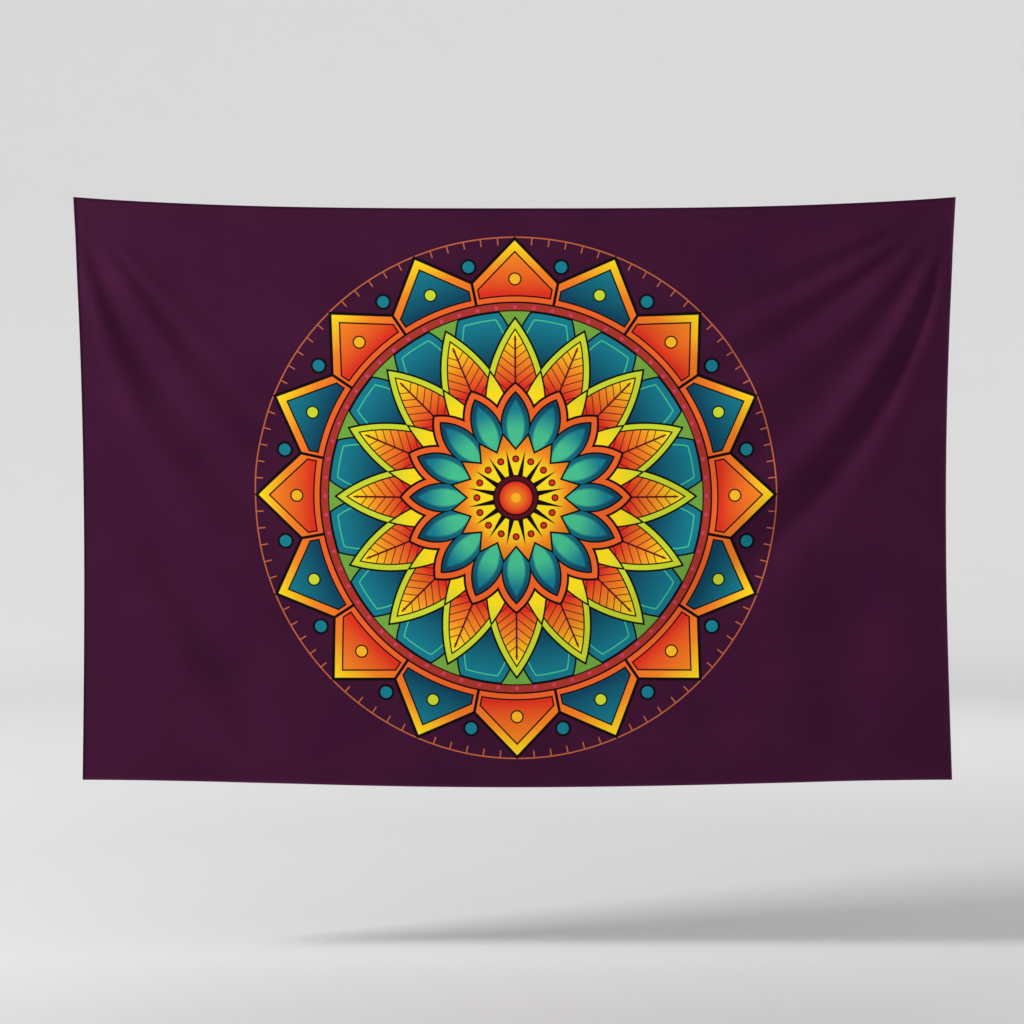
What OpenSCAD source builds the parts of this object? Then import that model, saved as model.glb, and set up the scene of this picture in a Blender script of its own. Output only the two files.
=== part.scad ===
// Printed cloth wall hanging, hung by two small looped rings sewn behind its top corners.
// Millimetres. +Z is up and -Y is the printed front. The origin is midway between
// the centres of the two rings, which is midway between the two wall nails.

/* [Cloth] */
// Width of the hemmed cloth when it lies flat
cloth_w = 1500; // [900:10:2000]
// Height of the hemmed cloth when it lies flat
cloth_h = 1000; // [700:10:1500]
// Thickness of the solid that stands for the cloth and its soft folds
cloth_t = 2; // [1:0.5:4]

/* [Hang] */
// How far each hung corner is drawn out sideways
corner_pull = 12; // [0:1:20]
// How far each hung corner is drawn upwards
corner_lift = 6; // [0:1:12]
// Sag of the top edge between the two corners
top_sag = 20; // [0:1:40]
// Drop of the middle of the bottom edge below its corners
bottom_sag = 13; // [0:1:30]
// How far the left edge is drawn in at half height
waist_left = 5.5; // [0:0.5:15]
// How far the right edge is drawn in at half height
waist_right = 9.5; // [0:0.5:15]
// Sideways drift of the bottom edge against the top edge
drift = 5; // [-15:1:15]

/* [Hem] */
// Width of the doubled turning behind each edge
hem_w = 20; // [20:1:30]
// Thickness of the doubled turning
hem_t = 0.8; // [0.6:0.1:1.5]
// Distance of the seam from the turning's inner edge
seam_margin = 1.5; // [1:0.1:1.5]
// Width of the sewing thread
thread_w = 0.8; // [0.4:0.1:1.2]
// How far the thread stands off the cloth
thread_h = 0.3; // [0.2:0.1:0.4]

/* [Hangers] */
// Outside diameter of a hanging ring
ring_od = 20; // [18:0.5:22]
// Diameter of the hole that goes over the nail
ring_id = 14; // [12:0.5:15]
// Thickness of a ring from front to back
ring_t = 2.4; // [1.8:0.1:2.6]
// Ring centre in from the side of the hung corner
ring_inset = 15; // [14:0.5:15]
// Ring centre below the tip of the hung corner
ring_drop = 14; // [13:0.5:18]
// Height of the loop below a ring that the tape goes through
loop_h = 6; // [6:0.5:8]
// Width of the tape tab that holds a ring
tab_w = 6; // [4:0.5:6]
// Length of the tab below the bar of its loop
tab_l = 22; // [18:1:30]
// Thickness of one ply of the tape
tape_t = 0.8; // [0.6:0.1:1]

/* [Hidden] */

cloth_color = [0.25, 0.09, 0.20];
lining_color = [0.36, 0.18, 0.31];
thread_color = [0.20, 0.07, 0.16];
tape_color = [0.12, 0.11, 0.13];
ring_color = [0.72, 0.72, 0.70];

edge_steps = 36;              // straight runs along each curved edge
seam_end_gap = 4;             // a seam starts this far in from the seam that it would cross
edge_break = 0.4;             // small chamfer on the ring's corners
cut_margin = 1;               // how far a cutting shape runs past each face

// The ring turns on the bar of its tape loop, inside the fold of the tape, so that
// the tape never reaches into the round hole.
bar_w = (ring_od - ring_id) / 2;
bar_z = -ring_od / 2 - loop_h - bar_w / 2;
loop_side_gap = 0.5;          // room beside the tape in the loop
loop_side_w = 2.5;            // width of each side of the loop
loop_root = 0.1;              // the loop's top is this far below the hole's broken corner
loop_in_w = tab_w + 2 * loop_side_gap;
loop_out_w = loop_in_w + 2 * loop_side_w;
ring_x = cloth_w / 2 + corner_pull - ring_inset;
seam_inset = hem_w - seam_margin;

fold_gap = 0.6;
fold_r = norm([bar_w / 2, ring_t / 2]) + fold_gap;
fold_outer_r = fold_r + tape_t;

// Depths, from the wall side to the front.
tab_back_y = -fold_outer_r + 2 * tape_t;
hem_back_y = -fold_outer_r;
panel_back_y = hem_back_y - hem_t;
panel_front_y = panel_back_y - cloth_t;

tack_side_gap = 0.7;          // a tack ends this far in from the tape's sides
tack_w = tab_w - 2 * tack_side_gap;
tack_h = 1.8;
tack_t = 0.3;
tack_top_drop = 5.5;          // upper tack below the bar
tack_end_gap = 4.5;           // lower tack above the tape's end
tack_z = [bar_z - tack_top_drop, bar_z - tab_l + tack_end_gap];

// Place on the hung cloth of the point that lies `a` across from the middle
// and `b` down from the top edge when the cloth lies flat.
function across(a) = 2 * a / cloth_w;
function down(b) = b / cloth_h;
function waist(s, t) = (s < 0 ? waist_left : -waist_right) * pow(abs(s), 3) * sin(180 * t);
function hung_x(s, t) = s * (cloth_w / 2 + corner_pull * pow(1 - t, 3)) + drift * t + waist(s, t);
function top_z(s) = ring_drop - top_sag * (1 - pow(abs(s), 3));
function bottom_z(s) = ring_drop - cloth_h - corner_lift - bottom_sag * pow(1 - s * s, 2);
function hung_z(s, t) = top_z(s) * (1 - t) + bottom_z(s) * t;
function hung(a, b) = [hung_x(across(a), down(b)), hung_z(across(a), down(b))];

function between(p, q, i) = p + (q - p) * i / edge_steps;

// Outline on the hung cloth of the flat rectangle from a0 to a1 and b0 to b1.
function hung_outline(a0, a1, b0, b1) = [
    for (i = [0:edge_steps - 1]) hung(between(a0, a1, i), b1),
    for (i = [0:edge_steps - 1]) hung(a1, between(b1, b0, i)),
    for (i = [0:edge_steps - 1]) hung(between(a1, a0, i), b0),
    for (i = [0:edge_steps - 1]) hung(a0, between(b0, b1, i))
];

// A patch of the hung cloth, as thick as `t`, with its back at `back_y`.
module patch(a0, a1, b0, b1, back_y, t) {
    translate([0, back_y, 0])
        rotate([90, 0, 0])
            linear_extrude(height = t)
                polygon(hung_outline(a0, a1, b0, b1));
}

// One seam: a run of thread on the front and a run on the back of the hem.
module seam(a0, a1, b0, b1) {
    color(thread_color) {
        patch(a0, a1, b0, b1, panel_front_y, thread_h);
        patch(a0, a1, b0, b1, hem_back_y + thread_h, thread_h);
    }
}

module printed_panel() {
    color(cloth_color)
        patch(-cloth_w / 2, cloth_w / 2, 0, cloth_h, panel_back_y, cloth_t);
}

module top_hem() {
    color(lining_color)
        patch(-cloth_w / 2, cloth_w / 2, 0, hem_w, hem_back_y, hem_t);
}

module bottom_hem() {
    color(lining_color)
        patch(-cloth_w / 2, cloth_w / 2, cloth_h - hem_w, cloth_h, hem_back_y, hem_t);
}

module side_hem(a0, a1) {
    color(lining_color)
        patch(a0, a1, hem_w, cloth_h - hem_w, hem_back_y, hem_t);
}

module left_hem() {
    side_hem(-cloth_w / 2, -cloth_w / 2 + hem_w);
}

module right_hem() {
    side_hem(cloth_w / 2 - hem_w, cloth_w / 2);
}

module level_seam(b) {
    end_a = cloth_w / 2 - seam_end_gap;
    seam(-end_a, end_a, b, b + thread_w);
}

module top_seam_thread() {
    level_seam(seam_inset);
}

module bottom_seam_thread() {
    level_seam(cloth_h - seam_inset - thread_w);
}

module side_seam(a) {
    b_in = seam_inset + thread_w + seam_end_gap;
    seam(a, a + thread_w, b_in, cloth_h - b_in);
}

module left_seam_thread() {
    side_seam(-cloth_w / 2 + seam_inset);
}

module right_seam_thread() {
    side_seam(cloth_w / 2 - seam_inset - thread_w);
}

// A doubled tape whose fold goes round the bar of the ring, sewn flat to the hem below it.
module tab(x) {
    color(tape_color)
        translate([x, 0, bar_z])
            difference() {
                union() {
                    rotate([0, 90, 0])
                        cylinder(r = fold_outer_r, h = tab_w, center = true, $fn = 48);
                    translate([-tab_w / 2, hem_back_y, -tab_l])
                        cube([tab_w, 2 * tape_t, tab_l]);
                }
                rotate([0, 90, 0])
                    cylinder(r = fold_r, h = tab_w + 2 * cut_margin, center = true, $fn = 48);
            }
}

module left_tab() {
    tab(-ring_x);
}

module right_tab() {
    tab(ring_x);
}

// Two short dense rows of stitches that hold the tab to the hem.
module tab_tacks(x) {
    color(thread_color)
        for (z = tack_z)
            translate([x - tack_w / 2, tab_back_y, z - tack_h / 2])
                cube([tack_w, tack_t, tack_h]);
}

module left_tab_tacks() {
    tab_tacks(-ring_x);
}

module right_tab_tacks() {
    tab_tacks(ring_x);
}

// The flat round of a ring, with broken corners; its straight inner wall goes over the nail.
module round() {
    r0 = ring_id / 2;
    r1 = ring_od / 2;
    half = ring_t / 2;
    rotate_extrude($fn = 96)
        polygon([
            [r0, -half + edge_break], [r0 + edge_break, -half],
            [r1 - edge_break, -half], [r1, -half + edge_break],
            [r1, half - edge_break], [r1 - edge_break, half],
            [r0 + edge_break, half], [r0, half - edge_break]
        ]);
}

// The flat loop below the round, whose lowest bar the tape folds over.
module tape_loop() {
    bar_r = bar_w / 2;
    top = -ring_id / 2 - edge_break - loop_root;
    linear_extrude(height = ring_t, center = true)
        difference() {
            union() {
                translate([-loop_out_w / 2, bar_z])
                    square([loop_out_w, top - bar_z]);
                translate([-loop_out_w / 2 + bar_r, bar_z - bar_r])
                    square([loop_out_w - bar_w, bar_w]);
                for (side = [-1, 1])
                    translate([side * (loop_out_w / 2 - bar_r), bar_z])
                        circle(r = bar_r, $fn = 48);
            }
            translate([-loop_in_w / 2, bar_z + bar_r])
                square([loop_in_w, loop_h]);
        }
}

module ring(x) {
    color(ring_color)
        translate([x, 0, 0])
            rotate([90, 0, 0])
                union() {
                    round();
                    tape_loop();
                }
}

module left_ring() {
    ring(-ring_x);
}

module right_ring() {
    ring(ring_x);
}

printed_panel();
top_hem();
bottom_hem();
left_hem();
right_hem();
top_seam_thread();
bottom_seam_thread();
left_seam_thread();
right_seam_thread();
left_tab();
right_tab();
left_tab_tacks();
right_tab_tacks();
left_ring();
right_ring();
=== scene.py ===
"""Looks of a printed cloth wall hanging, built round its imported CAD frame.

Sizes are millimetres unless a name says otherwise. Flat cloth places are (a, b):
a runs across from the middle of the cloth, b runs down from its top edge.
"""

import logging
import math
from dataclasses import dataclass, field
from enum import Enum
from typing import Any, Optional, Sequence

import bmesh
import bpy
import numpy as np
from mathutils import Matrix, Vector

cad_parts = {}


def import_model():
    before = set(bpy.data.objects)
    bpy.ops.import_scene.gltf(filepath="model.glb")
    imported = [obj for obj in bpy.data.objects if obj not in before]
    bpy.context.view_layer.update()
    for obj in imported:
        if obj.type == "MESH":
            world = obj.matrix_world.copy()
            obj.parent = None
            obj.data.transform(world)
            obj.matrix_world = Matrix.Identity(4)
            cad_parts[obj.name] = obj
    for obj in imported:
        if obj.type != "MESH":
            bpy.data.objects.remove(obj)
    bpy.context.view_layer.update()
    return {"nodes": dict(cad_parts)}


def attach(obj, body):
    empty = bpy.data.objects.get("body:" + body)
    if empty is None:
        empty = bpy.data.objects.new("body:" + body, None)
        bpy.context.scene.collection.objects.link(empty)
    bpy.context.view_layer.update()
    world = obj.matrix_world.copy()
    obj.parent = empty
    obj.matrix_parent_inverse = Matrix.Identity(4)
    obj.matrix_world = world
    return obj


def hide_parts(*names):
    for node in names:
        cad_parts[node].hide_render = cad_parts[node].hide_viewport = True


LOG = logging.getLogger("wall_hanging")
MM = 0.001
TURN = 2 * math.pi
STEP = 28.0  # a sixteenth of the printed circle's outer radius, in millimetres
Colour = tuple[float, float, float, float]


def paint(red: int, green: int, blue: int) -> Colour:
    """Linear colour of an ink given in 0 to 255 display values."""
    def linear(c: float) -> float:
        """One channel of the display curve, undone."""
        c /= 255
        return c / 12.92 if c <= 0.04045 else ((c + 0.055) / 1.055) ** 2.4

    return (linear(red), linear(green), linear(blue), 1.0)


# --------------------------------------------------------------------------- shader maths


class Num:
    """A number socket of a node tree that takes part in Python arithmetic."""

    def __init__(self, graph: "Graph", socket: bpy.types.NodeSocket) -> None:
        """Keep the tree and the socket."""
        self.graph = graph
        self.socket = socket

    def __add__(self, other: Any) -> "Num":
        """Sum."""
        return self.graph.math("ADD", self, other)

    def __radd__(self, other: Any) -> "Num":
        """Sum with the number first."""
        return self.graph.math("ADD", other, self)

    def __sub__(self, other: Any) -> "Num":
        """Difference."""
        return self.graph.math("SUBTRACT", self, other)

    def __rsub__(self, other: Any) -> "Num":
        """Difference from a number."""
        return self.graph.math("SUBTRACT", other, self)

    def __mul__(self, other: Any) -> "Num":
        """Product."""
        return self.graph.math("MULTIPLY", self, other)

    def __rmul__(self, other: Any) -> "Num":
        """Product with the number first."""
        return self.graph.math("MULTIPLY", other, self)

    def __abs__(self) -> "Num":
        """The size of the number."""
        return self.graph.math("ABSOLUTE", self)

    def least(self, other: Any) -> "Num":
        """The smaller of two."""
        return self.graph.math("MINIMUM", self, other)

    def most(self, other: Any) -> "Num":
        """The larger of two."""
        return self.graph.math("MAXIMUM", self, other)

    def folded(self, width: float) -> "Num":
        """The number folded back and forth between 0 and width."""
        return self.graph.math("PINGPONG", self, width)

    def sine(self) -> "Num":
        """Sine of an angle in radians."""
        return self.graph.math("SINE", self)

    def cosine(self) -> "Num":
        """Cosine of an angle in radians."""
        return self.graph.math("COSINE", self)

    def ramp(self, low: float, high: float) -> "Num":
        """0 below low, 1 above high, and straight between them; high may lie below low."""
        scale = 1.0 / (high - low)
        return self.graph.math("MULTIPLY_ADD", self, scale, -low * scale, clamp=True)

    def inside(self, soft: float = 0.7) -> "Num":
        """Mask of a shape whose signed distance this is, with an edge of that softness."""
        return self.ramp(soft / 2, -soft / 2)

    def stroke(self, width: float, soft: float = 0.7) -> "Num":
        """Mask of a line of that width along the zero of this distance."""
        return abs(self).ramp((width + soft) / 2, (width - soft) / 2)


class Graph:
    """A material's node tree, with the few calls that write into it."""

    def __init__(self, name: str) -> None:
        """Start a material of that name with an empty node tree."""
        self.material = bpy.data.materials.new(name)
        self.material.use_nodes = True
        self.tree = self.material.node_tree
        self.tree.nodes.clear()

    def put(self, socket: bpy.types.NodeSocket, value: Any) -> None:
        """Link a socket, or set its value."""
        if isinstance(value, Num):
            value = value.socket
        if isinstance(value, bpy.types.NodeSocket):
            self.tree.links.new(value, socket)
        else:
            socket.default_value = value

    def node(self, kind: str, settings: Optional[dict[str, Any]] = None,
             inputs: Optional[dict[Any, Any]] = None) -> bpy.types.Node:
        """Add any node.

        Args:
            kind: The node's type name.
            settings: Its properties, set first.
            inputs: Values or links by socket name, identifier or number.

        Returns:
            The node.
        """
        made = self.tree.nodes.new(kind)
        for key, value in (settings or {}).items():
            setattr(made, key, value)
        by_id = {s.identifier: s for s in made.inputs}
        for key, value in (inputs or {}).items():
            self.put(by_id[key] if key in by_id else made.inputs[key], value)
        return made

    def math(self, operation: str, *values: Any, clamp: bool = False) -> Num:
        """One Math node on numbers or number sockets."""
        made = self.node("ShaderNodeMath", {"operation": operation, "use_clamp": clamp},
                         dict(enumerate(values)))
        return Num(self, made.outputs[0])

    def point(self, x: Num, y: Num) -> bpy.types.NodeSocket:
        """A flat place from its two numbers."""
        return self.node("ShaderNodeCombineXYZ", inputs={0: x, 1: y}).outputs[0]

    def numbers(self, place: bpy.types.NodeSocket) -> list[Num]:
        """The x, y and z of a place."""
        return [Num(self, s) for s in self.node("ShaderNodeSeparateXYZ", inputs={0: place}).outputs]

    def object_place(self) -> bpy.types.NodeSocket:
        """Where each point lies in its piece's own frame, in metres."""
        return self.node("ShaderNodeTexCoord").outputs["Object"]

    def scaled(self, place: bpy.types.NodeSocket,
               scale: tuple[float, float, float]) -> bpy.types.NodeSocket:
        """A place with its x, y and z scaled."""
        return self.node("ShaderNodeMapping", inputs={"Vector": place, "Scale": scale}).outputs[0]

    def vector(self, operation: str, *values: Any) -> Num:
        """The number that a Vector Math node finds, such as a length."""
        made = self.node("ShaderNodeVectorMath", {"operation": operation}, dict(enumerate(values)))
        return Num(self, made.outputs["Value"])

    def from_circle(self, place: bpy.types.NodeSocket, x: float, y: float, radius: float) -> Num:
        """Signed distance of a place from a circle."""
        return self.vector("DISTANCE", place, (x, y, 0)) - radius

    def from_line(self, place: bpy.types.NodeSocket, p: tuple[float, float],
                  q: tuple[float, float]) -> Num:
        """Signed distance of a place from the line from p to q, positive on its left."""
        run = math.dist(p, q)
        nx, ny = (p[1] - q[1]) / run, (q[0] - p[0]) / run
        return self.vector("DOT_PRODUCT", place, (nx, ny, 0)) - (nx * p[0] + ny * p[1])

    def mix(self, share: Any, first: Any, second: Any) -> bpy.types.NodeSocket:
        """The first colour, giving way to the second as share goes from 0 to 1."""
        made = self.node("ShaderNodeMix", {"data_type": "RGBA"},
                         {"Factor_Float": share, "A_Color": first, "B_Color": second})
        return next(s for s in made.outputs if s.identifier == "Result_Color")

    def noise(self, place: Any, scale: float, detail: float = 2.0, rough: float = 0.5) -> Num:
        """Soft random mottling from 0 to 1."""
        made = self.node("ShaderNodeTexNoise", {"noise_dimensions": "3D"},
                         {"Vector": place, "Scale": scale, "Detail": detail, "Roughness": rough})
        return Num(self, made.outputs[0])

    def bump(self, height: Num, depth: float) -> bpy.types.NodeSocket:
        """A surface normal from a height, where 1 stands that many metres out."""
        return self.node("ShaderNodeBump", inputs={"Height": height, "Distance": depth}).outputs[0]

    def finish(self, **inputs: Any) -> bpy.types.Material:
        """Close the tree with a surface shader.

        Args:
            inputs: Its sockets by name, with an underscore for each space.

        Returns:
            The material.
        """
        named = {key.replace("_", " "): value for key, value in inputs.items()}
        surface = self.node("ShaderNodeBsdfPrincipled", inputs=named)
        self.node("ShaderNodeOutputMaterial", inputs={"Surface": surface.outputs[0]})
        return self.material


# --------------------------------------------------------------------------- the print


@dataclass(frozen=True)
class Inks:
    """The inks of the print."""

    ground: Colour = paint(65, 21, 51)
    ground_deep: Colour = paint(58, 16, 46)
    line: Colour = paint(14, 9, 12)
    maroon: Colour = paint(84, 16, 28)
    copper: Colour = paint(188, 98, 60)
    yellow: Colour = paint(250, 219, 30)
    gold: Colour = paint(246, 180, 36)
    orange: Colour = paint(243, 136, 34)
    flame: Colour = paint(236, 98, 38)
    red: Colour = paint(220, 48, 30)
    rust: Colour = paint(168, 52, 42)
    ember: Colour = paint(196, 120, 28)
    lime: Colour = paint(200, 214, 48)
    green: Colour = paint(112, 164, 64)
    olive: Colour = paint(64, 62, 26)
    teal: Colour = paint(22, 122, 140)
    deep_teal: Colour = paint(14, 66, 92)
    mint: Colour = paint(70, 190, 142)
    pink: Colour = paint(204, 64, 104)


@dataclass(frozen=True)
class Petals:
    """A ring of pointed petals, each the overlap of two circles through its two tips."""

    root_r: float
    tip_r: float
    half_w: float

    def distance(self, graph: Graph, place: bpy.types.NodeSocket) -> Num:
        """Signed distance from the petal on whose right half the place lies."""
        half_l = (self.tip_r - self.root_r) / 2
        radius = (half_l ** 2 / self.half_w + self.half_w) / 2
        return graph.from_circle(place, self.half_w - radius, self.root_r + half_l, radius)


@dataclass
class Mandala:
    """A plain ruler and compass mandala: rings of equal points, petals, rays and dots.

    Each main ring has the same number of equal parts. The main radii are whole or half steps,
    and a step is a sixteenth of the outer radius. A border is how far in from a shape's edge
    its inner field starts.
    """

    graph: Graph
    cloth_w: float = 1500.0
    cloth_h: float = 1000.0
    parts: int = 16
    rim_ticks: int = 96
    band_dots: int = 64
    rim_r: float = 16 * STEP + 2
    tick_l: float = 13.0
    rim_bead_r: float = 10.0
    tips_r: float = 16 * STEP
    notch_r: float = 13.5 * STEP
    point_border: float = 17.0
    point_side_gap: float = 9.0
    point_foot_gap: float = 14.0
    point_bead_r: float = 9.0
    disc_r: float = 12 * STEP
    band_w: float = STEP / 2
    band_dot_r: float = 3.2
    lobe_border: float = 11.0
    leaf_border: float = 11.0
    half_vein_pitch: float = 8.0
    vein_slope: float = 0.8
    scallop_w: float = 11.0
    petal_border: float = 9.0
    sun_tip_r: float = 4 * STEP
    sun_notch_r: float = 3 * STEP
    dart_slope: float = 0.1
    sun_bead_r: float = 4.0
    boss_r: float = STEP
    boss_collar: float = 9.0
    boss_pip_r: float = 8.0
    inks: Inks = field(default_factory=Inks)
    back_petal: Petals = Petals(5 * STEP, 13 * STEP, 50.0)
    leaf: Petals = Petals(0.0, 11 * STEP, 52.0)
    petal: Petals = Petals(2.5 * STEP, 6.5 * STEP, 24.0)

    def lay(self, under: Any, mask: Any, ink: Any) -> bpy.types.NodeSocket:
        """Print an ink, or a mixed colour, over what is there."""
        return self.graph.mix(mask, under, ink)

    def dot(self, under: Any, distance: Num, ink: Any, outline: float = 2.2) -> bpy.types.NodeSocket:
        """Print an outlined shape, given its signed distance."""
        under = self.lay(under, (distance - outline).inside(), self.inks.line)
        return self.lay(under, distance.inside(), ink)

    def frame(self) -> None:
        """Find each place's radius and angle, and its seat in its part, in the next and between."""
        g = self.graph
        u, v, _ = g.numbers(g.node("ShaderNodeUVMap", {"uv_map": "flat"}).outputs[0])
        x, y = (u - 0.5) * self.cloth_w, (v - 0.5) * self.cloth_h
        self.flat_place = g.point(x, y)
        self.r = g.vector("LENGTH", self.flat_place)
        self.angle = g.math("ARCTAN2", x, y)
        self.half = math.pi / self.parts
        self.turned = self.angle.folded(self.half)
        self.own = self.sector(self.turned)
        self.next = self.sector(2 * self.half - self.turned)
        self.from_ray = self.half - self.turned
        self.between = self.sector(self.from_ray)

    def sector(self, angle: Any) -> bpy.types.NodeSocket:
        """The place in a sector's own frame, whose axis points up."""
        return self.graph.point(self.r * angle.sine(), self.r * angle.cosine())

    def polar(self, radius: float, angle: float) -> tuple[float, float]:
        """A drawn place in a sector's frame."""
        return (radius * math.sin(angle), radius * math.cos(angle))

    def ground(self) -> bpy.types.NodeSocket:
        """The plain ground, faintly clouded as a dyed cloth is."""
        clouds = self.graph.noise(self.flat_place, 0.006, 3.0, 0.6).ramp(0.35, 0.7)
        return self.graph.mix(clouds, self.inks.ground_deep, self.inks.ground)

    def rim(self, under: Any) -> bpy.types.NodeSocket:
        """The fine outer circle with its even ticks, and a dot in each notch."""
        half_tick = math.pi / self.rim_ticks
        circle = (self.r - self.rim_r).stroke(2.2)
        tick = (self.r * self.angle.folded(half_tick)).stroke(2.0)
        tick = tick * (self.r - self.rim_r).inside() * (self.rim_r - self.tick_l - self.r).inside()
        under = self.lay(under, circle.most(tick), self.inks.copper)
        seat = self.polar(self.notch_r + STEP, self.half)
        bead = self.graph.from_circle(self.own, *seat, self.rim_bead_r)
        return self.dot(under, bead, self.inks.teal, 4.0)

    def outer_points(self, under: Any) -> bpy.types.NodeSocket:
        """Straight-edged points, red and teal by turns, each with an inset field and a dot."""
        g, ink = self.graph, self.inks
        edge = g.from_line(self.own, (0.0, self.tips_r), self.polar(self.notch_r, self.half))
        deep = self.tips_r - self.r * self.turned.cosine()
        divide = self.r * self.from_ray.sine()
        fill = g.mix(deep.ramp(4.0, 56.0), ink.yellow, ink.orange)
        fill = g.mix(deep.ramp(52.0, 104.0), fill, ink.flame)
        under = self.lay(under, (edge - 2.6).inside(), ink.line)
        under = self.lay(under, (edge + 2.6).inside(), fill)
        under = self.lay(under, divide.stroke(5.0) * edge.inside(), ink.line)
        even = self.angle.folded(2 * self.half).ramp(self.half + 0.001, self.half - 0.001)
        inset = (edge + self.point_border).most(self.point_side_gap - divide)
        inset = inset.most(self.disc_r + self.point_foot_gap - self.r)
        warm = g.mix(deep.ramp(24.0, 96.0), ink.orange, ink.red)
        cool = g.mix(deep.ramp(24.0, 96.0), ink.teal, ink.deep_teal)
        under = self.dot(under, inset, g.mix(even, cool, warm), 2.6)
        bead = g.from_circle(self.own, 0.0, self.tips_r - 2.5 * STEP, self.point_bead_r)
        return self.dot(under, bead, g.mix(even, ink.lime, ink.gold), 2.4)

    def disc(self, under: Any) -> bpy.types.NodeSocket:
        """The disc with its beaded band, and the wide back petals that show between the leaves."""
        g, ink = self.graph, self.inks
        edge = self.r - self.disc_r
        under = self.dot(under, edge, ink.rust, 3.0)
        half_dot = math.pi / self.band_dots
        place = self.sector(self.angle.folded(half_dot))
        bead = g.from_circle(place, 0.0, self.disc_r - self.band_w / 2, self.band_dot_r)
        under = self.lay(under, bead.inside(1.0), ink.pink)
        lobes = g.mix(self.r.ramp(11 * STEP, 8.5 * STEP), ink.green, ink.olive)
        core = edge + self.band_w
        under = self.dot(under, core, lobes)
        back = self.back_petal.distance(g, self.between).most(core + 2.0)
        shade = g.mix(self.r.ramp(8.5 * STEP, 11 * STEP), ink.deep_teal, ink.teal)
        under = self.dot(under, back, shade, 3.0)
        return self.lay(under, (back + self.lobe_border).stroke(2.2), ink.mint)

    def leaves(self, under: Any) -> bpy.types.NodeSocket:
        """Broad leaves with a lime edge and plain herringbone veins."""
        g, ink = self.graph, self.inks
        own = self.leaf.distance(g, self.own)
        both = own.most(self.leaf.distance(g, self.next))
        under = self.dot(under, own, ink.lime, 3.4)
        heart = g.mix(self.r.ramp(7 * STEP, 8.5 * STEP), ink.red, ink.orange)
        heart = g.mix(self.r.ramp(8.5 * STEP, 10 * STEP), heart, ink.yellow)
        across, up, _ = g.numbers(self.own)
        midrib = across.stroke(3.2) * (self.r - 10 * STEP).inside(3.0)
        side_veins = (up - across * self.vein_slope).folded(self.half_vein_pitch).stroke(2.0)
        side_veins = side_veins * (self.r - 9.8 * STEP).inside(3.0)
        heart = g.mix(side_veins.most(midrib), heart, ink.maroon)
        under = self.dot(under, own + self.leaf_border, heart, 2.4)
        kite = g.mix(self.r.ramp(6.5 * STEP, 8 * STEP), ink.yellow, ink.lime)
        return self.dot(under, both + 1.6, kite, 3.0)

    def petals(self, under: Any) -> bpy.types.NodeSocket:
        """Teal petals with a pale heart, ringed by a scalloped band."""
        g, ink = self.graph, self.inks
        own = self.petal.distance(g, self.own)
        ring = own.least(self.petal.distance(g, self.next))
        under = self.dot(under, ring - self.scallop_w, ink.flame, 4.0)
        shade = g.mix(self.r.ramp(3 * STEP, 6 * STEP), ink.teal, ink.deep_teal)
        under = self.dot(under, own + 1.0, shade, 3.0)
        glow = g.mix(self.r.ramp(5.5 * STEP, 4.2 * STEP), ink.teal, ink.mint)
        return self.lay(under, (own + self.petal_border).inside(4.0), glow)

    def sun(self, under: Any) -> bpy.types.NodeSocket:
        """The sun, whose rays point between the petals, with darts and dots round a plain boss."""
        g, ink = self.graph, self.inks
        notch = self.polar(self.sun_notch_r, self.half)
        edge = g.from_line(self.between, (0.0, self.sun_tip_r), notch)
        rays = g.mix(self.r.ramp(2.2 * STEP, 3.2 * STEP), ink.yellow, ink.orange)
        rays = g.mix(self.r.ramp(3.2 * STEP, 4 * STEP), rays, ink.ember)
        under = self.dot(under, edge + 1.4, rays, 3.2)
        dart = self.r * self.from_ray - (self.sun_notch_r - self.r) * self.dart_slope
        under = self.lay(under, dart.inside(), ink.line)
        bead = g.from_circle(self.own, 0.0, 2.4 * STEP, self.sun_bead_r)
        under = self.dot(under, bead, ink.red)
        centre = self.r - self.boss_r
        under = self.dot(under, centre - self.boss_collar, ink.maroon, 2.6)
        under = self.dot(under, centre, g.mix(self.r.ramp(4.0, 26.0), ink.orange, ink.red), 2.6)
        return self.lay(under, (centre + self.boss_r - self.boss_pip_r).inside(2.0), ink.gold)

    def printed(self) -> bpy.types.NodeSocket:
        """Print every layer from the ground up.

        Returns:
            The colour of the print at each place of the flat cloth.
        """
        self.frame()
        colour = self.ground()
        for layer in (self.rim, self.outer_points, self.disc, self.leaves, self.petals, self.sun):
            colour = layer(colour)
        return colour


# --------------------------------------------------------------------------- finishes


def weave(graph: Graph, place: Any, pitch: float) -> Num:
    """Height of a plain weave, from 0 to 1.

    Args:
        graph: The material's tree.
        place: Where on the cloth, in millimetres.
        pitch: Distance from one thread to the next.

    Returns:
        The height.
    """
    turn = TURN / (2 * pitch)
    x, y = (number * turn for number in graph.numbers(place)[:2])
    over = abs(x.sine()) * 0.5
    under = abs(y.sine()) * 0.5
    return over + under + x.sine() * y.sine() * 0.3


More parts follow.
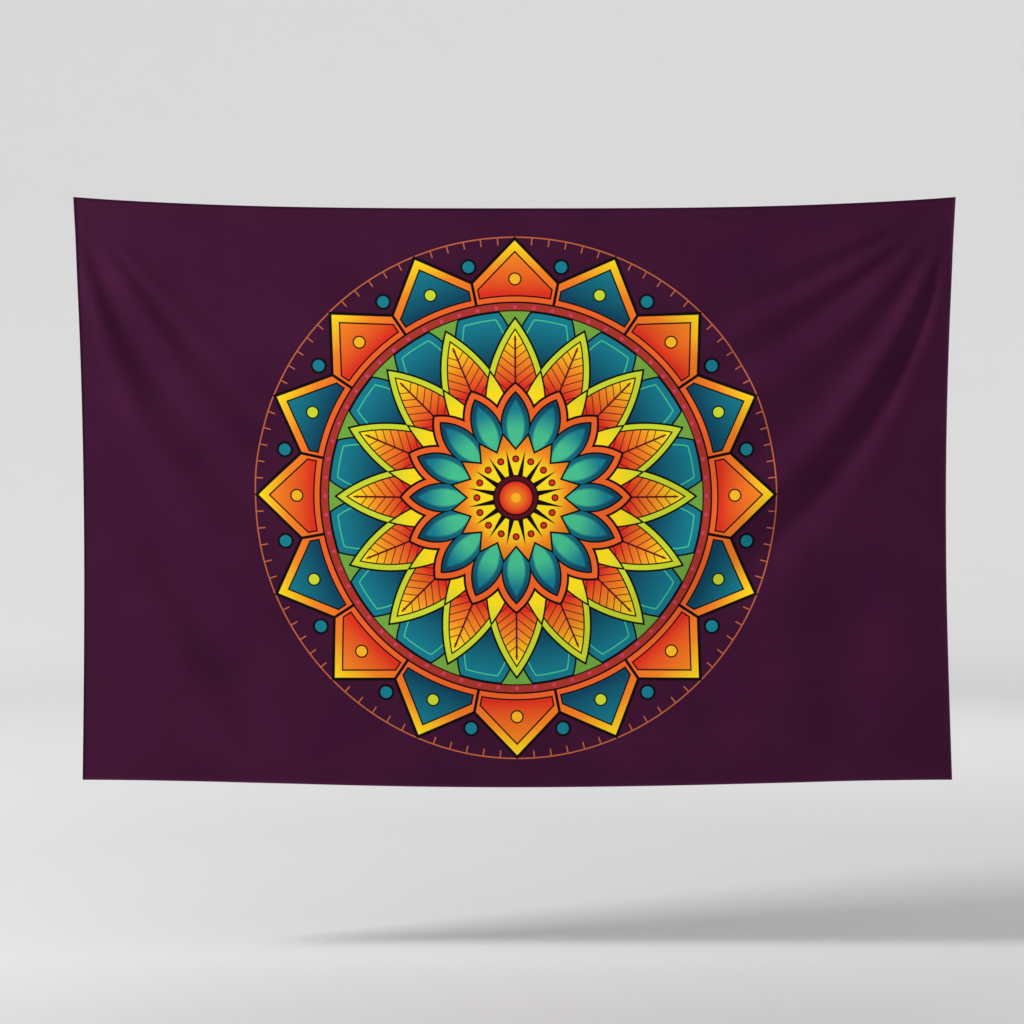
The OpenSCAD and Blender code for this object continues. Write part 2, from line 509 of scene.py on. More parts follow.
@dataclass(frozen=True)
class PrintedCloth:
    """The polyester cloth: the print on its front, and its pale ghost on the back."""

    thread_pitch: float = 0.55
    weave_depth: float = 0.00006
    sheen: float = 0.02
    slub_run: float = 70.0
    slub_pitch: float = 1.6
    shade: Colour = paint(14, 6, 12)
    bare: Colour = paint(196, 178, 192)
    back_ghost: float = 0.62

    def material(self, name: str, ghost: float = 0.0) -> bpy.types.Material:
        """Make one face of the cloth.

        Args:
            name: The material's name.
            ghost: 0 for the printed face, up to 1 for cloth that no ink has reached.

        Returns:
            The material.
        """
        g = Graph(name)
        art = Mandala(g)
        colour = art.printed()
        fibre = g.noise(art.flat_place, 0.9, 2.0, 0.7).ramp(0.2, 0.8)
        stretched = g.scaled(art.flat_place, (1 / self.slub_run, 1 / self.slub_pitch, 1.0))
        slubs = g.noise(stretched, 1.0, 3.0, 0.6).ramp(0.3, 0.7)
        worn = fibre * 0.10 + slubs * 0.12
        colour = g.mix(worn, colour, g.mix(0.5, colour, self.shade))
        if ghost:
            colour = g.mix(ghost, colour, self.bare)
        cloth = weave(g, art.flat_place, self.thread_pitch) + slubs * 0.8
        rough = 0.74 + fibre * 0.1
        return g.finish(Base_Color=colour, Roughness=rough, Normal=g.bump(cloth, self.weave_depth),
                        Sheen_Weight=self.sheen, Sheen_Roughness=0.45, Specular_IOR_Level=0.04)


@dataclass(frozen=True)
class Thread:
    """Twisted polyester sewing thread. The twist's pitch and depth are in metres."""

    ink: Colour = paint(58, 22, 47)
    # Dark colour painted into the twist's grooves as painted shade.
    shade: Colour = paint(36, 12, 29)
    twist_pitch: float = 0.0009
    twist_depth: float = 0.00008
    fuzz_scale: float = 900.0

    def material(self) -> bpy.types.Material:
        """Make the thread's finish."""
        g = Graph("sewing_thread")
        place = g.object_place()
        fuzz = g.noise(place, self.fuzz_scale, 3.0)
        x, y, z = g.numbers(place)
        twist = ((x + y + z) * (TURN / self.twist_pitch)).sine() * 0.5 + 0.5
        # The colour follows the twist's height: the thread is painted darker in the twist's grooves as
        # painted shade, with random fuzz mottling on top.
        colour = g.mix(twist * 0.5 + fuzz * 0.3, self.shade, self.ink)
        return g.finish(Base_Color=colour, Roughness=0.45 + fuzz * 0.2,
                        Normal=g.bump(twist, self.twist_depth), Sheen_Weight=0.04,
                        Specular_IOR_Level=0.12)


@dataclass(frozen=True)
class Tape:
    """Woven twill tape. The ribs' pitch and depth are in metres."""

    ink: Colour = paint(34, 30, 36)
    # Dark colour painted between the ribs as painted shade.
    shade: Colour = paint(16, 14, 18)
    rib_pitch: float = 0.0011
    rib_depth: float = 0.00012
    fuzz_scale: float = 1500.0

    def material(self) -> bpy.types.Material:
        """Make the tape's finish."""
        g = Graph("woven_tape")
        place = g.object_place()
        x, y, z = g.numbers(place)
        ribs = ((abs(x) + z + y) * (TURN / self.rib_pitch)).sine() * 0.5 + 0.5
        fuzz = g.noise(place, self.fuzz_scale, 3.0)
        # The colour follows the ribs' height: the tape is painted darker between its ribs as painted
        # shade, with random fuzz mottling on top.
        colour = g.mix(ribs * 0.6 + fuzz * 0.3, self.shade, self.ink)
        return g.finish(Base_Color=colour, Roughness=0.8 + fuzz * 0.1,
                        Normal=g.bump(ribs * 0.7 + fuzz * 0.3, self.rib_depth), Sheen_Weight=0.3)


@dataclass(frozen=True)
class Nickel:
    """Nickel plating, brushed and lightly worn."""

    tint: Colour = paint(196, 192, 184)
    worn: Colour = paint(142, 134, 122)
    brush_stretch: tuple[float, float, float] = (1.0, 6.0, 1.0)
    brush_scale: float = 1400.0
    brush_depth: float = 0.00002
    smudge_scale: float = 160.0

    def material(self) -> bpy.types.Material:
        """Make the ring's finish."""
        g = Graph("ring_metal")
        place = g.object_place()
        brush = g.noise(g.scaled(place, self.brush_stretch), self.brush_scale, 4.0, 0.7)
        smudge = g.noise(place, self.smudge_scale).ramp(0.45, 0.75)
        colour = g.mix(smudge * 0.5 + brush * 0.2, self.tint, self.worn)
        return g.finish(Base_Color=colour, Metallic=1.0, Roughness=0.22 + brush * 0.14 + smudge * 0.12,
                        Normal=g.bump(brush, self.brush_depth))


# --------------------------------------------------------------------------- the hung cloth


class Corner(Enum):
    """The two corners that hold the cloth up."""

    LEFT = -1
    RIGHT = 1


@dataclass(frozen=True)
class Pleat:
    """A soft fold that fans out from a hung corner.

    The angle is below the level, in degrees, and the fold gets shallower by `bend` degrees in
    each metre. The spread is its half width in degrees, on top of the least half width that the
    cloth can bend to, and the height is towards the viewer, greatest at `peak` from the corner.
    """

    corner: Corner
    angle: float
    bend: float
    spread: float
    height: float
    peak: float


@dataclass(frozen=True)
class Swag:
    """A soft fold along a straight stretch of the cloth, from (a, b) to (a, b)."""

    start: tuple[float, float]
    end: tuple[float, float]
    half_width: float
    height: float


@dataclass
class Drape:
    """The shape that the cloth hangs in: the outline of the CAD panel, with soft folds.

    The cloth is still within `still_r` of a hung corner and its folds grow over the next
    `freeing_w`. The fine ripple grows over the first `ripple_start` below the top and calms
    within `calm_edge` of the sides. A swag is at its full height over twice `swag_full` of its
    length.
    """

    cloth_w: float = 1500.0
    cloth_h: float = 1000.0
    corner_pull: float = 12.0
    corner_lift: float = 6.0
    top_sag: float = 20.0
    bottom_sag: float = 13.0
    waist_left: float = 5.5
    waist_right: float = 9.5
    drift: float = 5.0
    corner_z: float = 14.0
    back_y: float = -4.121
    cloth_t: float = 0.7
    swell: float = 3.0
    least_bend: float = 8.0
    pleat_rise: float = 1.3
    swag_full: float = 0.15
    swag_fade: float = 0.08
    ripple: float = 1.1
    ripple_across: float = 88.0
    ripple_down: float = 210.0
    ripple_waver: float = 140.0
    ripple_start: float = 260.0
    calm_edge: float = 120.0
    still_r: float = 50.0
    freeing_w: float = 130.0
    pleats: tuple[Pleat, ...] = (
        Pleat(Corner.LEFT, 87.0, 33.0, 2.6, 6.6, 380.0),
        Pleat(Corner.LEFT, 78.5, 33.0, 2.6, -6.6, 380.0),
        Pleat(Corner.LEFT, 61.0, 8.0, 2.2, 5.0, 290.0),
        Pleat(Corner.LEFT, 54.0, 8.0, 2.2, -5.0, 290.0),
        Pleat(Corner.LEFT, 47.5, 0.0, 1.7, 3.4, 170.0),
        Pleat(Corner.LEFT, 41.5, 0.0, 1.7, -3.4, 170.0),
        Pleat(Corner.LEFT, 32.0, 0.0, 2.4, 1.9, 180.0),
        Pleat(Corner.RIGHT, 87.5, 30.0, 1.7, 3.1, 240.0),
        Pleat(Corner.RIGHT, 82.6, 30.0, 2.2, -8.2, 340.0),
        Pleat(Corner.RIGHT, 75.4, 30.0, 2.4, 7.7, 340.0),
        Pleat(Corner.RIGHT, 66.0, 26.0, 2.4, -2.9, 260.0),
        Pleat(Corner.RIGHT, 55.0, 22.0, 3.2, 4.1, 300.0),
        Pleat(Corner.RIGHT, 44.0, 16.0, 2.2, -3.4, 230.0),
        Pleat(Corner.RIGHT, 36.5, 14.0, 1.9, 3.1, 210.0),
        Pleat(Corner.RIGHT, 30.0, 10.0, 1.7, -2.6, 190.0),
        Pleat(Corner.RIGHT, 23.0, 8.0, 2.0, 1.9, 180.0),
    )
    swags: tuple[Swag, ...] = (
        Swag((-691.0, 604.0), (-450.0, 976.0), 34.0, 4.2),
        Swag((-650.0, 577.0), (-408.0, 949.0), 40.0, -5.2),
        Swag((455.0, 600.0), (470.0, 1000.0), 70.0, 3.0),
        Swag((560.0, 560.0), (572.0, 1000.0), 60.0, -4.6),
        Swag((652.0, 520.0), (668.0, 1000.0), 60.0, 4.0),
    )

    def place(self, a: np.ndarray, b: np.ndarray) -> np.ndarray:
        """Places on the cloth's back face, in millimetres.

        Args:
            a: Places across the flat cloth.
            b: Places down the flat cloth.

        Returns:
            Points in the frame that the CAD and the scene share.
        """
        s, t = 2 * a / self.cloth_w, b / self.cloth_h
        waist = np.where(s < 0, self.waist_left, -self.waist_right)
        x = s * (self.cloth_w / 2 + self.corner_pull * np.clip(1 - t, 0, None) ** 3)
        x = x + self.drift * t + waist * np.abs(s) ** 3 * np.sin(math.pi * t)
        top = self.corner_z - self.top_sag * (1 - np.abs(s) ** 3)
        bottom = self.corner_z - self.cloth_h - self.corner_lift - self.bottom_sag * (1 - s * s) ** 2
        z = top * (1 - t) + bottom * t
        return np.stack([x, self.back_y - self.relief(a, b), z], -1)

    def relief(self, a: np.ndarray, b: np.ndarray) -> np.ndarray:
        """How far the folds bring the cloth forward of its flat place.

        Args:
            a: Places across the flat cloth.
            b: Places down the flat cloth.

        Returns:
            Heights towards the viewer, nothing where the rings hold the corners.
        """
        forward = np.full(np.broadcast(a, b).shape, self.swell)
        for pleat in self.pleats:
            across = self.cloth_w / 2 - a * pleat.corner.value
            reach = np.hypot(across, b)
            angle = np.degrees(np.arctan2(b, across)) - pleat.angle + pleat.bend * reach * MM
            width = np.radians(pleat.spread) * reach + self.least_bend
            fan = np.exp(-(np.radians(angle) * reach / width) ** 2)
            share = reach / pleat.peak
            growth = share ** self.pleat_rise * np.exp(self.pleat_rise * (1 - share))
            forward = forward + pleat.height * fan * growth
        for swag in self.swags:
            start, end = np.array(swag.start), np.array(swag.end)
            run = end - start
            length = float(np.hypot(*run))
            run = run / length
            da, db = a - start[0], b - start[1]
            along = (da * run[0] + db * run[1]) / length
            off = (-da * run[1] + db * run[0]) / swag.half_width
            past = np.clip(np.abs(along - 0.5) - self.swag_full, 0, None)
            forward = forward + swag.height * np.exp(-off ** 2) * np.exp(-past ** 2 / self.swag_fade)
        wave = np.sin(a / self.ripple_across + 0.4 * np.sin(b / self.ripple_waver))
        ripple = self.ripple * wave * np.sin(b / self.ripple_down + 0.6)
        edge = np.minimum(self.cloth_w / 2 - np.abs(a), self.calm_edge) / self.calm_edge
        forward = forward + ripple * np.clip(b / self.ripple_start, 0, 1) * (0.35 + 0.65 * edge)
        from_corner = np.hypot(self.cloth_w / 2 - np.abs(a), b)
        free = np.clip((from_corner - self.still_r) / self.freeing_w, 0, 1)
        return forward * free * free * (3 - 2 * free)

    def outward(self, a: np.ndarray, b: np.ndarray) -> np.ndarray:
        """The cloth's unit normal, towards the viewer."""
        near = 0.5
        da = self.place(a + near, b) - self.place(a - near, b)
        db = self.place(a, b + near) - self.place(a, b - near)
        normal = np.cross(db, da)
        normal *= np.where(normal[..., 1:2] > 0, -1, 1)
        return normal / np.linalg.norm(normal, axis=-1, keepdims=True)

    def raised(self, a: np.ndarray, b: np.ndarray, height: Any) -> np.ndarray:
        """A point that stands off the cloth's back face, towards the viewer, in metres."""
        height = np.asarray(height, float)[..., None] if np.ndim(height) else height
        return (self.place(a, b) + self.outward(a, b) * height) * MM

    def printed_place(self, a: np.ndarray, b: np.ndarray) -> np.ndarray:
        """A flat place as shares of the cloth's width and height, from its lower left corner."""
        return np.stack([a / self.cloth_w + 0.5, 1 - b / self.cloth_h], -1)


def mesh_object(name: str, points: np.ndarray, faces: Sequence[Sequence[int]],
                materials: Sequence[bpy.types.Material]) -> bpy.types.Object:
    """Make a smooth mesh piece at the origin.

    Args:
        name: The piece's name.
        points: Vertices in metres.
        faces: Vertex numbers of each face.
        materials: Its materials, in slot order.

    Returns:
        The object, linked into the scene.
    """
    mesh = bpy.data.meshes.new(name)
    mesh.from_pydata([tuple(p) for p in np.asarray(points, float).tolist()], [], list(faces))
    for material in materials:
        mesh.materials.append(material)
    mesh.polygons.foreach_set("use_smooth", [True] * len(mesh.polygons))
    made = bpy.data.objects.new(name, mesh)
    bpy.context.scene.collection.objects.link(made)
    return made


def lay_flat(mesh: bpy.types.Mesh, flat: np.ndarray) -> None:
    """Keep each vertex's printed place as a UV map, so that the print follows the cloth."""
    corners = np.empty(len(mesh.loops), int)
    mesh.loops.foreach_get("vertex_index", corners)
    mesh.uv_layers.new(name="flat").data.foreach_set("uv", flat[corners].ravel())


def tube_faces(sections: int, count: int) -> list[list[int]]:
    """Faces of a closed tube.

    Args:
        sections: How many outlines lie along it.
        count: How many vertices each outline has.

    Returns:
        Its sides, and a face across each end.
    """
    numbers = np.arange(sections * count).reshape(-1, count)
    onward = np.roll(numbers, -1, axis=1)
    sides = np.stack([numbers[:-1], numbers[1:], onward[1:], onward[:-1]], -1).reshape(-1, 4)
    return sides.tolist() + [numbers[0].tolist(), numbers[-1][::-1].tolist()]


def turn_outwards(piece: bpy.types.Object) -> None:
    """Merge doubles and face every side of a closed piece outwards."""
    bm = bmesh.new()
    bm.from_mesh(piece.data)
    bmesh.ops.remove_doubles(bm, verts=bm.verts, dist=1e-7)
    bmesh.ops.recalc_face_normals(bm, faces=bm.faces)
    bm.to_mesh(piece.data)
    bm.free()


@dataclass
class Panel:
    """The printed cloth, as one closed thin sheet, in even steps across and down."""

    drape: Drape
    steps_a: int = 258
    steps_b: int = 172
    body: str = "cloth"

    def build(self, front: bpy.types.Material, back: bpy.types.Material) -> bpy.types.Object:
        """Build the sheet with its flat places as a UV map.

        Args:
            front: Finish of the printed face and the edge.
            back: Finish of the face towards the wall.

        Returns:
            The piece, riding on the cloth.
        """
        d = self.drape
        a = np.linspace(-d.cloth_w / 2, d.cloth_w / 2, self.steps_a + 1)
        b = np.linspace(0.0, d.cloth_h, self.steps_b + 1)
        aa, bb = np.meshgrid(a, b)
        back_face = d.raised(aa, bb, 0.0).reshape(-1, 3)
        front_face = d.raised(aa, bb, d.cloth_t).reshape(-1, 3)
        count = len(back_face)
        grid = np.arange(count).reshape(aa.shape)
        quads = np.stack([grid[:-1, :-1], grid[1:, :-1], grid[1:, 1:], grid[:-1, 1:]], -1)
        quads = quads.reshape(-1, 4)
        rim = np.concatenate([grid[0, :-1], grid[:-1, -1], grid[-1, :0:-1], grid[:0:-1, 0]])
        onward = np.roll(rim, -1)
        edge = np.stack([rim, onward, onward + count, rim + count], -1)
        faces = np.concatenate([quads + count, quads[:, ::-1], edge])
        points = np.concatenate([back_face, front_face])
        piece = mesh_object("cloth_panel", points, faces.tolist(), [front, back])
        flat = d.printed_place(aa, bb).reshape(-1, 2)
        lay_flat(piece.data, np.concatenate([flat, flat]))
        index = np.zeros(len(faces), int)
        index[len(quads):2 * len(quads)] = 1
        piece.data.polygons.foreach_set("material_index", index)
        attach(piece, self.body)
        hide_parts("printed_panel")
        LOG.info("%s: %d faces", piece.name, len(faces))
        return piece


class Side(Enum):
    """The four edges of the cloth."""

    TOP = "top"
    BOTTOM = "bottom"
    LEFT = "left"
    RIGHT = "right"


@dataclass
class Hem:
    """The turning behind one edge, folded twice, and the seam that holds it down.

    The seam lies `seam_margin` from the turning's inner edge, pulls it in by `sunk` and gathers
    it slightly. Each thread's middle stands off the cloth by `stand` of the thread's radius.
    """

    drape: Drape
    side: Side
    width: float = 20.0
    thick: float = 0.8
    seam_margin: float = 1.9
    seam_end_gap: float = 4.0
    sunk: float = 0.14
    pitch: float = 3.0
    stitch: float = 2.4
    thread_r: float = 0.26
    stand: float = 0.3
    gather_pitch: float = 11.0
    gather_depth: float = 0.035
    steps: int = 720
    body: str = "cloth"

    def edge_places(self, along: np.ndarray, inset: Any) -> tuple[np.ndarray, np.ndarray]:
        """Flat places at a distance in from this edge.

        Args:
            along: How far along the edge, from 0 to 1.
            inset: Distance in from the edge.

        Returns:
            The a and b of each place.
        """
        d = self.drape
        inset = np.broadcast_to(inset, along.shape)
        if self.side in (Side.TOP, Side.BOTTOM):
            a = (along - 0.5) * d.cloth_w
            return a, inset if self.side is Side.TOP else d.cloth_h - inset
        b = self.width + along * (d.cloth_h - 2 * self.width)
        edge = d.cloth_w / 2 - inset
        return (-edge if self.side is Side.LEFT else edge), b

    def profile(self) -> list[tuple[float, float, float]]:
        """Outline across the turning: inset, depth behind the cloth, and share of the gathers."""
        soft, w, t = 0.25, self.width, self.thick
        seam, beside, lip = w - self.seam_margin, 0.7, 0.05
        return [(soft, 0.0, 0.0), (w - soft, 0.0, 0.0), (w, soft, 0.0), (w, t - soft, 0.5),
                (w - soft, t, 0.7), (seam + beside, t - lip, 0.9), (seam, t - self.sunk, 1.0),
                (seam - beside, t - lip, 0.9), (seam - 2.6, t, 0.5), (seam - 6.0, t, 0.0),
                (w * 0.3, t, 0.0), (soft * 2, t, 0.0), (lip, t - soft, 0.0), (0.0, soft, 0.0)]

    def build(self, finish: bpy.types.Material) -> bpy.types.Object:
        """Build the turning as a closed strip.

        Args:
            finish: Finish of the cloth's back.

        Returns:
            The piece, riding on the cloth.
        """
        along = np.linspace(0.0, 1.0, self.steps + 1)
        profile = self.profile()
        turns = TURN * along * self.drape.cloth_w / self.gather_pitch
        gathers = self.gather_depth * (np.sin(turns) + 0.6 * np.sin(turns * 0.57 + 1.0))
        rings, flats = [], []
        for inset, depth, share in profile:
            a, b = self.edge_places(along, inset)
            rings.append(self.drape.raised(a, b, -(depth + share * gathers)))
            flats.append(self.drape.printed_place(a, b))
        points = np.stack(rings, 1).reshape(-1, 3)
        faces = tube_faces(len(along), len(profile))
        piece = mesh_object(f"{self.side.value}_turning", points, faces, [finish])
        lay_flat(piece.data, np.stack(flats, 1).reshape(-1, 2))
        turn_outwards(piece)
        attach(piece, self.body)
        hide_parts(f"{self.side.value}_hem")
        LOG.info("%s: %d faces", piece.name, len(faces))
        return piece

    def sew(self, thread: bpy.types.Material) -> bpy.types.Object:
        """Sew the seam: a row of stitches on the front and one on the back."""
        along = np.linspace(0.0, 1.0, self.steps + 1)
        ends = self.seam_end_gap / self.drape.cloth_w
        along = ends + along * (1 - 2 * ends)
        a, b = self.edge_places(along, self.width - self.seam_margin)
        stand = self.thread_r * self.stand
        front = self.drape.raised(a, b, self.drape.cloth_t + stand)
        back = self.drape.raised(a, b, -(self.thick - self.sunk + stand))
        row = StitchRow(self.pitch, self.stitch, self.thread_r)
        piece = row.sew(f"{self.side.value}_stitches", [front, back], thread)
        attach(piece, self.body)
        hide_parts(f"{self.side.value}_seam_thread")
        LOG.info("%s: %d faces", piece.name, len(piece.data.polygons))
        return piece


# --------------------------------------------------------------------------- stitches


@dataclass
class StitchRow:
    """A row of stitches along drawn lines, made by a Geometry Nodes tree.

    The pitch runs from stitch to stitch, and the radius is the thread's.
    """

    pitch: float
    length: float
    radius: float

    def tree(self) -> bpy.types.GeometryNodeTree:
        """Build the node tree that sets a short thread at every pitch of a line.

        Returns:
            The tree, whose inputs are the line, the pitch, the length, the radius and the finish.
        """
        tree = bpy.data.node_groups.get("stitch_row")
        if tree:
            return tree
        tree = bpy.data.node_groups.new("stitch_row", "GeometryNodeTree")
        face = tree.interface
        face.new_socket("Line", in_out="INPUT", socket_type="NodeSocketGeometry")
        for name in ("Pitch", "Length", "Radius"):
            face.new_socket(name, in_out="INPUT", socket_type="NodeSocketFloat")
        face.new_socket("Finish", in_out="INPUT", socket_type="NodeSocketMaterial")
        face.new_socket("Stitches", in_out="OUTPUT", socket_type="NodeSocketGeometry")

        def add(kind: str, settings: Optional[dict[str, Any]] = None,
                links: Optional[dict[Any, Any]] = None) -> bpy.types.Node:
            """Add a node, set it and feed it."""
            made = tree.nodes.new(kind)
            for key, value in (settings or {}).items():
                setattr(made, key, value)
            for key, value in (links or {}).items():
                if isinstance(value, bpy.types.NodeSocket):
                    tree.links.new(value, made.inputs[key])
                else:
                    made.inputs[key].default_value = value
            return made

        given = add("NodeGroupInput").outputs
        curve = add("GeometryNodeMeshToCurve", links={"Mesh": given["Line"]})
        even = add("GeometryNodeResampleCurve", {"mode": "LENGTH"},
                   {"Curve": curve.outputs[0], "Length": given["Pitch"]})
        tangent = add("GeometryNodeInputTangent")
        turn = add("FunctionNodeAlignRotationToVector", {"axis": "Z"}, {"Vector": tangent.outputs[0]})
        bead = add("GeometryNodeMeshUVSphere", links={"Segments": 6, "Rings": 5, "Radius": 1.0})
        soft = add("GeometryNodeSetShadeSmooth", links={0: bead.outputs[0]})
        half = add("ShaderNodeMath", {"operation": "MULTIPLY"}, {0: given["Length"], 1: 0.5})
        size = add("ShaderNodeCombineXYZ", links={0: given["Radius"], 1: given["Radius"],
                                                  2: half.outputs[0]})
        copies = add("GeometryNodeInstanceOnPoints", links={
            "Points": even.outputs[0], "Instance": soft.outputs[0],
            "Rotation": turn.outputs[0], "Scale": size.outputs[0]})
        solid = add("GeometryNodeRealizeInstances", links={0: copies.outputs[0]})
        dressed = add("GeometryNodeSetMaterial", links={"Geometry": solid.outputs[0],
                                                        "Material": given["Finish"]})
        add("NodeGroupOutput", links={0: dressed.outputs[0]})
        return tree

    def sew(self, name: str, lines: Sequence[np.ndarray],
            finish: bpy.types.Material) -> bpy.types.Object:
        """Sew along lines.

        Args:
            name: The piece's name.
            lines: Points of each line, in metres.
            finish: The thread's finish.

        Returns:
            The stitches as a plain mesh piece.
        """
        points = np.concatenate(lines)
        edges, first = [], 0
        for line in lines:
            edges += [(first + i, first + i + 1) for i in range(len(line) - 1)]
            first += len(line)
        mesh = bpy.data.meshes.new(name + "_line")
        mesh.from_pydata([tuple(p) for p in points.tolist()], edges, [])
        guide = bpy.data.objects.new(name + "_line", mesh)
        bpy.context.scene.collection.objects.link(guide)
        tree = self.tree()
        sewing = guide.modifiers.new("stitches", "NODES")
        sewing.node_group = tree
        values = {"Pitch": self.pitch * MM, "Length": self.length * MM, "Radius": self.radius * MM,
                  "Finish": finish}
        for item in tree.interface.items_tree:
            if item.in_out == "INPUT" and item.name in values:
                sewing[item.identifier] = values[item.name]
        bpy.context.view_layer.update()
        ready = guide.evaluated_get(bpy.context.evaluated_depsgraph_get())
        stitches = bpy.data.meshes.new_from_object(ready)
        stitches.name = name
        bpy.data.objects.remove(guide)
        piece = bpy.data.objects.new(name, stitches)
        bpy.context.scene.collection.objects.link(piece)
        return piece


# --------------------------------------------------------------------------- hangers


@dataclass
class Hanger:
    """A folded tape tab behind one top corner, held by two zigzag tacks, for that corner's ring.

    The tape goes `wrap` degrees round the bar, and its plies meet `meet_drop` below the fold.
    A tack's row is its pitch, its stitch length and its thread's radius.
    """

    corner: Corner
    drape: Drape
    ring_inset: float = 15.0
    bar_z: float = -17.5
    fold_r: float = 2.521
    tape_t: float = 0.8
    tape_w: float = 6.0
    tape_l: float = 22.0
    ply_gap: float = 0.04
    selvedge_r: float = 0.25
    wrap: float = 222.0
    meet_drop: float = 2.6
    tack_z: tuple[float, float] = (-23.0, -35.0)
    tack_w: float = 4.6
    tack_h: float = 1.8
    tack_stand: float = 0.1
    tack_turns: int = 13
    tack_row: tuple[float, float, float] = (1.0, 1.5, 0.2)
    body: str = "cloth"

    @property
    def name(self) -> str:
        """Left or right, as a word."""
        return self.corner.name.lower()

    @property
    def x(self) -> float:
        """Where the ring's middle lies across the cloth."""
        return self.corner.value * (self.drape.cloth_w / 2 + self.drape.corner_pull - self.ring_inset)

    def path(self) -> np.ndarray:
        """The tape's middle line in the y, z plane, from the front ply round to the back ply."""
        mid_r = self.fold_r + self.tape_t / 2
        foot = self.bar_z - self.tape_l
        back_ply = -mid_r + self.tape_t
        front = [(-mid_r, foot + (self.bar_z - foot) * i / 8) for i in range(8)]
        turn = np.radians(np.linspace(180.0, 180.0 - self.wrap, 30))
        fold = [(mid_r * math.cos(q), self.bar_z + mid_r * math.sin(q)) for q in turn]
        y0, z0 = fold[-1]
        z1 = self.bar_z - mid_r - self.meet_drop
        ease = np.linspace(0.0, 1.0, 10)[1:]
        swoop = [(y0 + (back_ply - y0) * (3 * t * t - 2 * t ** 3), z0 + (z1 - z0) * t) for t in ease]
        down = [(back_ply, z1 + (foot - z1) * i / 6) for i in range(1, 7)]
        return np.array(front + fold + swoop + down)

    def build_tab(self, tape: bpy.types.Material) -> bpy.types.Object:
        """Build the tape as a closed ribbon with rounded selvedges."""
        path = self.path()
        run = np.gradient(path, axis=0)
        run /= np.linalg.norm(run, axis=1, keepdims=True)
        normal = np.stack([run[:, 1], -run[:, 0]], -1)
        w, t, r = self.tape_w / 2, (self.tape_t - self.ply_gap) / 2, self.selvedge_r
        section = [(-w, -t * 0.45), (-w, t * 0.45), (-w + r, t), (-w * 0.5, t * 0.94), (0.0, t * 0.9),
                   (w * 0.5, t * 0.94), (w - r, t), (w, t * 0.45), (w, -t * 0.45), (w - r, -t),
                   (w * 0.5, -t * 0.94), (0.0, -t * 0.9), (-w * 0.5, -t * 0.94), (-w + r, -t)]
        points = []
        for (y, z), (ny, nz) in zip(path, normal):
            points += [(self.x + u, y + ny * v, z + nz * v) for u, v in section]
        faces = tube_faces(len(path), len(section))
        piece = mesh_object(f"{self.name}_tape_tab", np.array(points) * MM, faces, [tape])
        turn_outwards(piece)
        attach(piece, self.body)
        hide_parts(f"{self.name}_tab")
        LOG.info("%s: %d faces", piece.name, len(faces))
        return piece

    def build_tacks(self, thread: bpy.types.Material) -> bpy.types.Object:
        """Sew the two dense zigzag tacks through the tab."""
        y = -self.fold_r + self.tape_t + self.tack_stand
        lines = []
        for z in self.tack_z:
            zigzag = [(self.x + self.tack_w * (i / (self.tack_turns - 1) - 0.5), y,
                       z + self.tack_h * (0.5 if i % 2 else -0.5)) for i in range(self.tack_turns)]
            lines.append(np.array(zigzag) * MM)
        row = StitchRow(*self.tack_row)
        piece = row.sew(f"{self.name}_tacks", lines, thread)
        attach(piece, self.body)
        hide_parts(f"{self.name}_tab_tacks")
        LOG.info("%s: %d faces", piece.name, len(piece.data.polygons))
        return piece


# --------------------------------------------------------------------------- studio


@dataclass(frozen=True)
class Lamp:
    """A soft square lamp. Its places and its width are in metres and its light is in watts."""

    name: str
    at: tuple[float, float, float]
    to: tuple[float, float, float]
    width: float
    power: float

    def hang(self) -> None:
        """Hang the lamp and point it."""
        light = bpy.data.lights.new(self.name, "AREA")
        light.size = self.width
        light.energy = self.power
        made = bpy.data.objects.new(self.name, light)
        made.location = self.at
        made.rotation_euler = (Vector(self.to) - Vector(self.at)).to_track_quat("-Z", "Y").to_euler()
        bpy.context.scene.collection.objects.link(made)


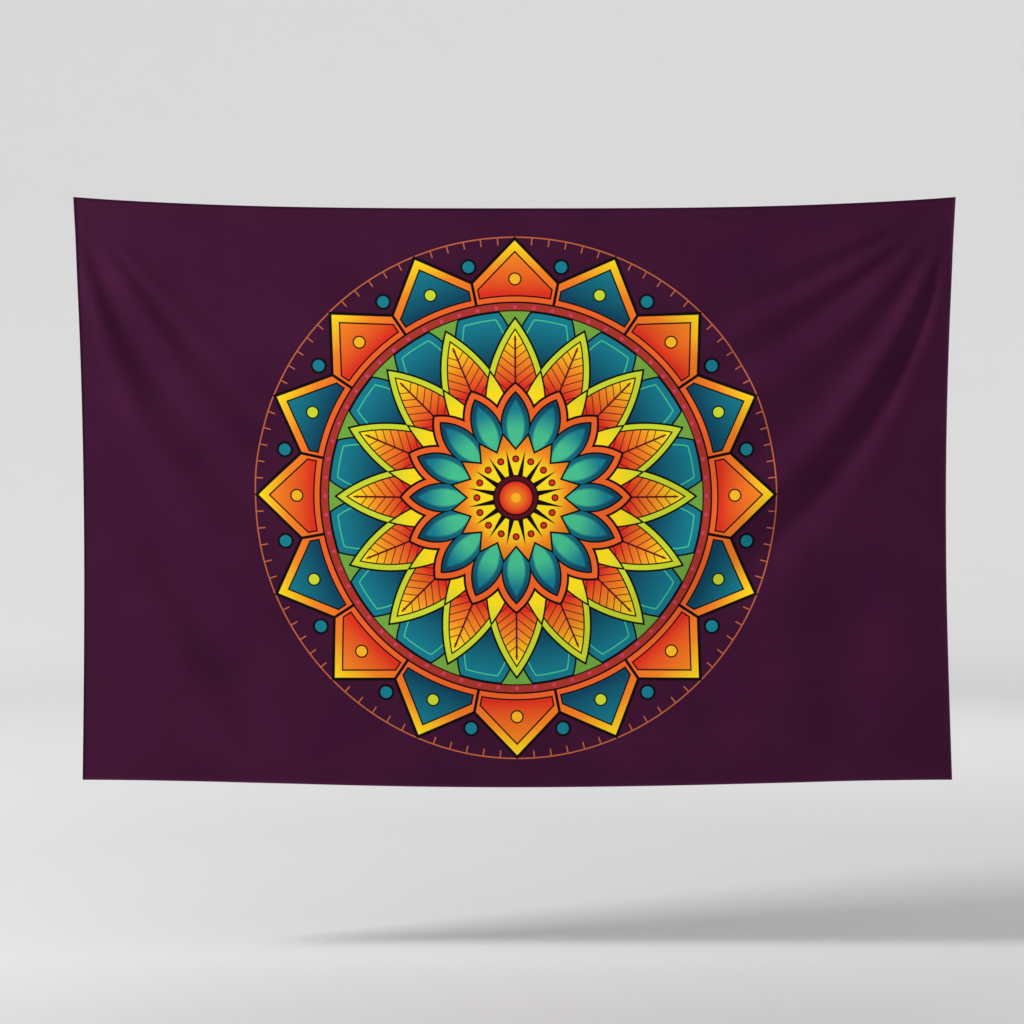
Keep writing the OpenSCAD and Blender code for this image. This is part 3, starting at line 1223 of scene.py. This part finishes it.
@dataclass
class Studio:
    """A pale floor that curves up into a wall all round, soft light and a level camera.

    Sizes are in metres. The camera frames `view_w` at the cloth's front, `front` before the
    origin.
    """

    view_w: float = 1.768
    aim: tuple[float, float] = (-0.0043, -0.530)
    lens: float = 70.0
    front: float = 0.005
    floor_z: float = -1.30
    flat_r: float = 5.5
    curve_r: float = 2.5
    wall_h: float = 5.8
    sides: int = 96
    # Painted light: the sweep is painted darker near the middle and paler out towards the wall, to
    # even out how the lamps light it.
    near_tone: Colour = paint(183, 183, 183)
    far_tone: Colour = paint(224, 224, 224)
    tone_run: tuple[float, float] = (2.0, 6.5)
    surround: float = 0.84
    lamps: tuple[Lamp, ...] = (
        Lamp("key", (-4.6, -1.6, 2.6), (0.0, 0.0, -0.45), 1.0, 370.0),
        Lamp("rear", (1.2, 3.6, 1.8), (0.0, 0.0, -0.5), 2.0, 50.0),
    )

    def build(self) -> None:
        """Set the camera, the floor, the pale surround and the lamps."""
        scene = bpy.context.scene
        scene.view_settings.view_transform = "Standard"
        camera = bpy.data.objects.new("camera", bpy.data.cameras.new("camera"))
        camera.data.lens = self.lens
        camera.data.clip_end = 200.0
        away = self.view_w * self.lens / camera.data.sensor_width
        camera.location = (self.aim[0], -away - self.front, self.aim[1])
        camera.rotation_euler = (math.pi / 2, 0.0, 0.0)
        scene.collection.objects.link(camera)
        scene.camera = camera
        self.sweep()

        world = bpy.data.worlds.new("surround")
        world.use_nodes = True
        ground = world.node_tree.nodes["Background"]
        ground.inputs[0].default_value = (1.0, 1.0, 1.0, 1.0)
        ground.inputs[1].default_value = self.surround
        scene.world = world
        for lamp in self.lamps:
            lamp.hang()

    def sweep(self) -> bpy.types.Object:
        """Build the floor and the wall it curves up into, as one smooth bowl."""
        bend = np.radians(np.linspace(0.0, 90.0, 13))
        profile = [(self.flat_r * 0.5, 0.0)]
        profile += [(self.flat_r + self.curve_r * math.sin(q), self.curve_r * (1 - math.cos(q)))
                    for q in bend]
        profile.append((self.flat_r + self.curve_r, self.wall_h))
        points = [(0.0, 0.0, self.floor_z)]
        for r, z in profile:
            points += [(r * math.cos(TURN * i / self.sides), r * math.sin(TURN * i / self.sides),
                        self.floor_z + z) for i in range(self.sides)]
        faces: list[tuple[int, ...]] = []
        for i in range(self.sides):
            n = (i + 1) % self.sides
            faces.append((0, 1 + i, 1 + n))
            for k in range(len(profile) - 1):
                low, high = 1 + k * self.sides, 1 + (k + 1) * self.sides
                faces.append((low + i, high + i, high + n, low + n))
        graph = Graph("studio_floor")
        away = graph.vector("LENGTH", graph.object_place())
        # Painted shade near the middle, giving way to painted light up the wall.
        painted_light_tone = graph.mix(away.ramp(*self.tone_run), self.near_tone, self.far_tone)
        pale = graph.finish(Base_Color=painted_light_tone, Roughness=0.95, Specular_IOR_Level=0.1)
        return mesh_object("studio_floor", np.array(points), faces, [pale])


# --------------------------------------------------------------------------- assembly


def main() -> None:
    logging.basicConfig(level=logging.INFO, format="%(name)s: %(message)s")
    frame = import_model()
    Studio().build()

    cloth = PrintedCloth()
    front = cloth.material("printed_cloth")
    back = cloth.material("cloth_back", cloth.back_ghost)
    thread = Thread().material()
    tape = Tape().material()
    nickel = Nickel().material()

    drape = Drape()
    panel = Panel(drape).build(front, back)
    for side in Side:
        hem = Hem(drape, side)
        hem.build(back)
        hem.sew(thread)
    for corner in Corner:
        hanger = Hanger(corner, drape)
        hanger.build_tab(tape)
        hanger.build_tacks(thread)
        ring = frame["nodes"][f"{hanger.name}_ring"]
        ring.data.materials.clear()
        ring.data.materials.append(nickel)
        LOG.info("%s_ring: dressed", hanger.name)


if __name__ == "__main__":
    main()
